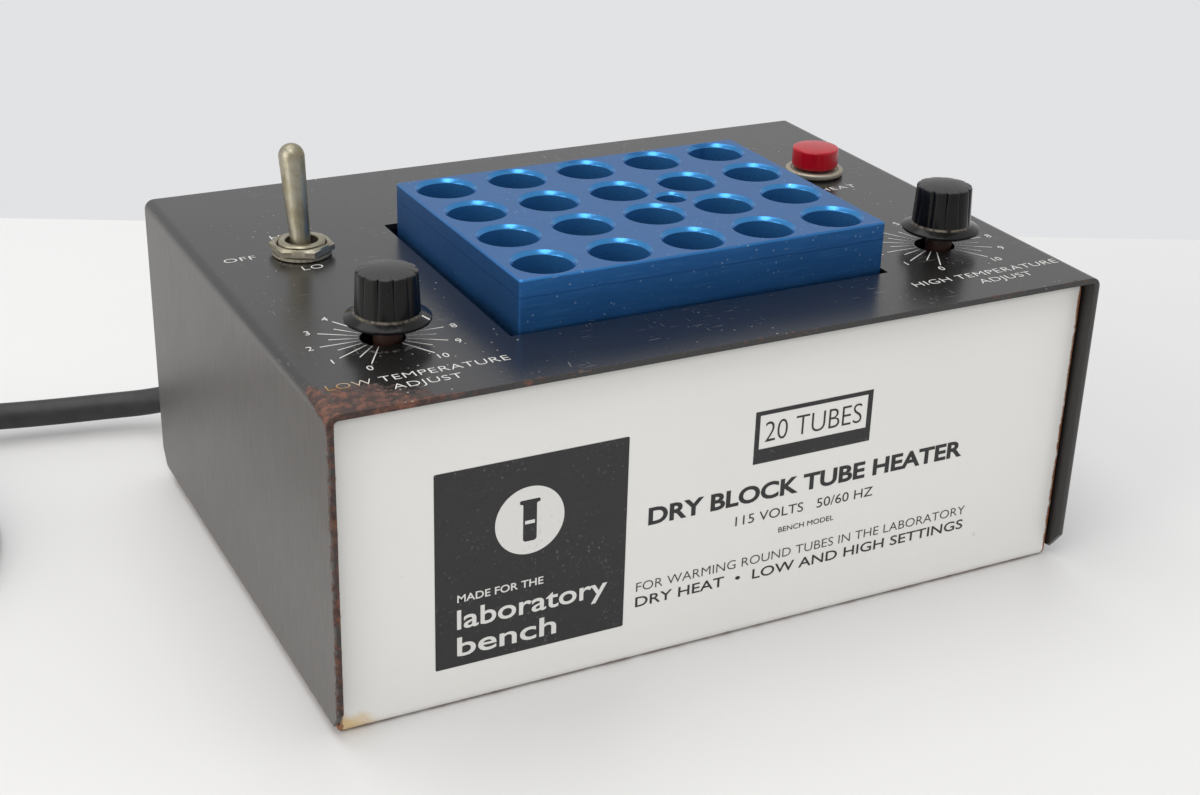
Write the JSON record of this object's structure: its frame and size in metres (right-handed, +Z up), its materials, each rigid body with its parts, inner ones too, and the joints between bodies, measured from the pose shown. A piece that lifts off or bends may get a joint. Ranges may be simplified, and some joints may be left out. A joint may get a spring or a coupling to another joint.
{
  "type": "dry block heater",
  "caption": "Bench-top dry block heater: folded steel case, drilled block for test tubes lifting out of a heated well, thermostat knobs, toggle switch, pilot lamp and mains cord.",
  "frame": {"origin": "on the bench under the middle of the case, at the underside of the pan", "axes": "+X to the right along the front, +Y to the back, +Z up; the front faces -Y"},
  "size_m": [0.378, 0.2063, 0.1086],
  "materials": {
    "black_paint": "satin, worn",
    "white_enamel": "gloss, aged",
    "zinc": "dull",
    "bare_aluminium": "as cast",
    "mica": "matt",
    "insulation": "fibrous",
    "blue_anodised": "satin anodised",
    "brown_phenolic": "moulded",
    "brass": "dull",
    "black_phenolic": "gloss",
    "nickel": "tarnished nickel plate",
    "red_lens": "gloss",
    "lead_insulation": "satin",
    "black_rubber": "satin"
  },
  "bodies": {
    "case": {"cover": "black_paint", "pan": "white_enamel", "cover_screw_front_left": "zinc", "cover_screw_front_right": "zinc", "cover_screw_back_left": "zinc", "cover_screw_back_right": "zinc", "clamp_plate": "zinc", "clamp_bolt": "zinc", "well_bracket_left": "zinc", "well_bracket_right": "zinc", "well_screw_left_front": "zinc", "well_screw_left_back": "zinc", "well_screw_right_front": "zinc", "well_screw_right_back": "zinc", "lamp_clip": "zinc", "ground_screw": "zinc", "heating_well": "bare_aluminium", "bracket_rivet_left_front": "bare_aluminium", "bracket_rivet_left_back": "bare_aluminium", "bracket_rivet_right_front": "bare_aluminium", "bracket_rivet_right_back": "bare_aluminium", "heating_element": "mica", "insulation_board": "insulation", "low_thermostat": "brown_phenolic", "high_thermostat": "brown_phenolic", "terminal_strip": "brown_phenolic", "low_thermostat_nut": "brass", "high_thermostat_nut": "brass", "terminal_screw_1": "brass", "terminal_screw_2": "brass", "terminal_screw_3": "brass", "plug_line_blade": "brass", "plug_neutral_blade": "brass", "plug_ground_pin": "brass", "switch_body": "nickel", "switch_nut": "nickel", "switch_washer": "nickel", "lamp_body": "nickel", "lamp_lens": "red_lens", "line_lead": "lead_insulation", "neutral_lead": "lead_insulation", "ground_lead": "lead_insulation", "heater_lead": "lead_insulation", "low_lead": "lead_insulation", "high_lead": "lead_insulation", "lamp_lead": "lead_insulation", "strain_relief": "black_rubber", "cord_lead": "black_rubber", "cord_coil": "black_rubber", "cord_tail": "black_rubber", "plug_body": "black_rubber"},
    "tube_block": {"tube_block": "blue_anodised"},
    "low_control": {"low_knob": "black_phenolic", "low_knob_screw": "zinc", "low_shaft": "brown_phenolic"},
    "high_control": {"high_knob": "black_phenolic", "high_knob_screw": "zinc", "high_shaft": "brown_phenolic"},
    "switch_lever": {"switch_lever": "nickel"}
  },
  "joints": [
    {"name": "block_lift", "type": "slide", "parent": "case", "child": "tube_block", "axis": [0, 0, 1], "range_m": [0, 0.07]},
    {"name": "low_knob_turn", "type": "hinge", "parent": "case", "child": "low_control", "pos_m": [-0.075, -0.0387, 0.09], "axis": [0, 0, 1], "range_deg": [-21.5, 278.5]},
    {"name": "high_knob_turn", "type": "hinge", "parent": "case", "child": "high_control", "pos_m": [0.0776, -0.0376, 0.09], "axis": [0, 0, 1], "range_deg": [-120, 180]},
    {"name": "switch_throw", "type": "hinge", "parent": "case", "child": "switch_lever", "pos_m": [-0.0758, 0.0188, 0.0804], "axis": [1, 0, 0], "range_deg": [0, 24]}
  ]
}
